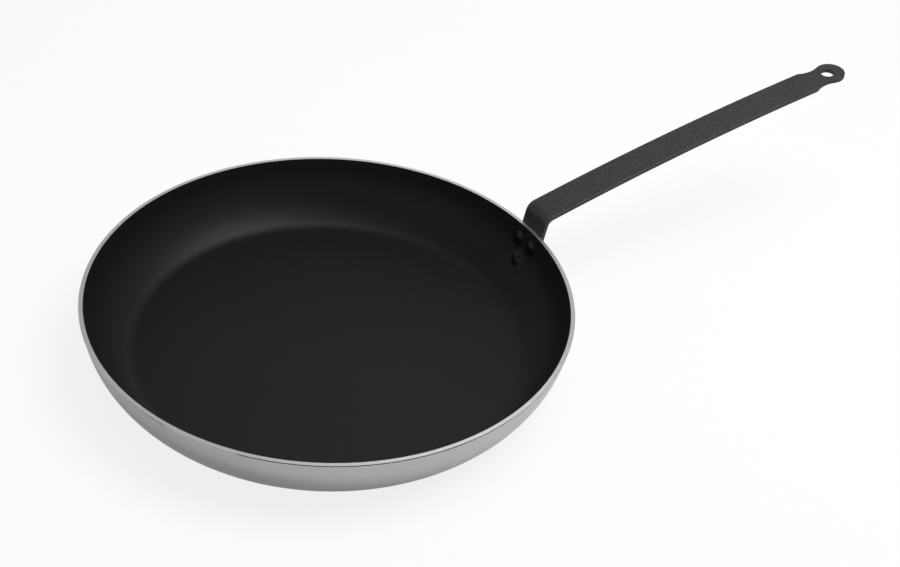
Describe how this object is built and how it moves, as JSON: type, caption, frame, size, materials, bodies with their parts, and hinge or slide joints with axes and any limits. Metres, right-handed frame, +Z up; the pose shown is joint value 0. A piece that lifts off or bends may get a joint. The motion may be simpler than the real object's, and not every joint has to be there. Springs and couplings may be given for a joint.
{
  "type": "omelette pan",
  "caption": "Shallow round omelette pan with flared walls, a non-stick inside and a long flat strip handle, riveted to the wall and holed at its end for hanging.",
  "frame": {"origin": "on the bowl's axis at the flat underside", "axes": "+Z up along the bowl's axis, +X from the axis out along the handle"},
  "size_m": [0.7471, 0.3998, 0.1381],
  "materials": {
    "pan_aluminium": "satin, pressed, with a turned rim and base",
    "nonstick_lining": "satin black non-stick lining",
    "handle_epoxy": "fine textured black epoxy powder on steel",
    "rivet_metal": "inner heads black with the lining, outer tails bare"
  },
  "bodies": {
    "root": {"pan_body": "pan_aluminium", "nonstick_coating": "nonstick_lining", "handle": "handle_epoxy", "rivet_upper_left": "rivet_metal", "rivet_upper_right": "rivet_metal", "rivet_lower": "rivet_metal"}
  },
  "joints": []
}
